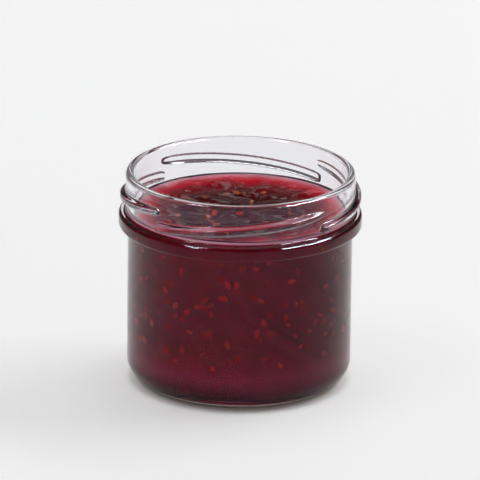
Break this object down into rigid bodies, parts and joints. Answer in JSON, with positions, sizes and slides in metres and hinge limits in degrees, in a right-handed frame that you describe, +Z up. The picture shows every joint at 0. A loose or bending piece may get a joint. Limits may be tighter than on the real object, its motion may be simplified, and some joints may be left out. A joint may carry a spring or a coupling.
{
  "type": "jam jar",
  "caption": "Small open clear glass screw-top jar filled with dark red raspberry jam.",
  "frame": {"origin": "under the middle of the base, on the surface the jar stands on", "axes": "+Z up along the jar's axis; -Y is the front, where the middle of one thread lug faces"},
  "size_m": [0.0812, 0.0812, 0.072],
  "materials": {
    "glass": "clear, polished",
    "jam": "glossy, wet raspberry jam with seeds",
    "seeds": "red-brown raspberry seeds"
  },
  "bodies": {
    "root": {"jar": "glass", "jam": "jam"}
  },
  "joints": []
}
